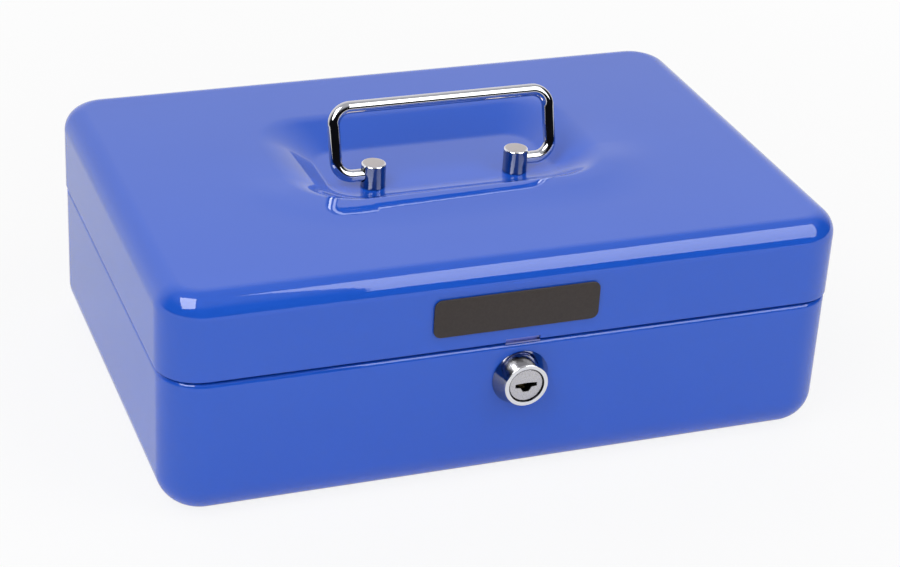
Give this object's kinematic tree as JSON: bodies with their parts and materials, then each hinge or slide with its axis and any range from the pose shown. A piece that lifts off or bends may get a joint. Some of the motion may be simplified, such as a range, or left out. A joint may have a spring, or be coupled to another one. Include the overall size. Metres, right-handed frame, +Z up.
{
  "type": "cash box",
  "caption": "Pressed-steel cash box with a folding wire handle in a dished lid, a keyed cam lock, concealed hinges and a lift-out coin tray.",
  "frame": {"origin": "middle of the flat underside of the base", "axes": "+X to the right along the front, +Y from the front to the back, +Z up"},
  "size_m": [0.25, 0.178, 0.1101],
  "materials": {
    "enamel": "gloss blue enamel",
    "chrome": "polished chrome plate",
    "zinc": "bright zinc plate",
    "brass": "stamped brass",
    "badge": "satin dark brown",
    "tray_plastic": "black moulded plastic, fine texture"
  },
  "bodies": {
    "base": {"base_shell": "enamel", "lock_housing": "chrome", "lock_nut": "zinc", "hinge_base_leaf_left": "zinc", "hinge_pin_left": "zinc", "tray_ledge_left": "zinc", "hinge_base_leaf_right": "zinc", "hinge_pin_right": "zinc", "tray_ledge_right": "zinc"},
    "lid": {"lid_shell": "enamel", "badge_plate": "badge", "lid_catch": "zinc", "handle_post_left": "chrome", "post_washer_left": "zinc", "hinge_lid_leaf_left": "zinc", "handle_post_right": "chrome", "post_washer_right": "zinc", "hinge_lid_leaf_right": "zinc"},
    "handle": {"bail_handle": "chrome"},
    "plug": {"lock_plug": "chrome", "wafer_1": "brass", "wafer_2": "brass", "wafer_3": "brass", "wafer_4": "brass", "stop_washer": "zinc", "lock_cam": "zinc", "cam_washer": "zinc", "cam_screw": "zinc"},
    "tray": {"coin_tray": "tray_plastic"}
  },
  "joints": [
    {"name": "lid_hinge", "type": "hinge", "parent": "base", "child": "lid", "pos_m": [0, 0.0822, 0.049], "axis": [-1, 0, 0], "range_deg": [0, 110]},
    {"name": "handle_fold", "type": "hinge", "parent": "lid", "child": "handle", "pos_m": [0, -0.0052, 0.0841], "axis": [-1, 0, 0], "range_deg": [-95, 77]},
    {"name": "lock_turn", "type": "hinge", "parent": "base", "child": "plug", "pos_m": [0.0012, -0.0856, 0.04], "axis": [0, 1, 0], "range_deg": [0, 90]},
    {"name": "tray_lift", "type": "slide", "parent": "base", "child": "tray", "axis": [0, 0, 1], "range_m": [0, 0.018]}
  ]
}
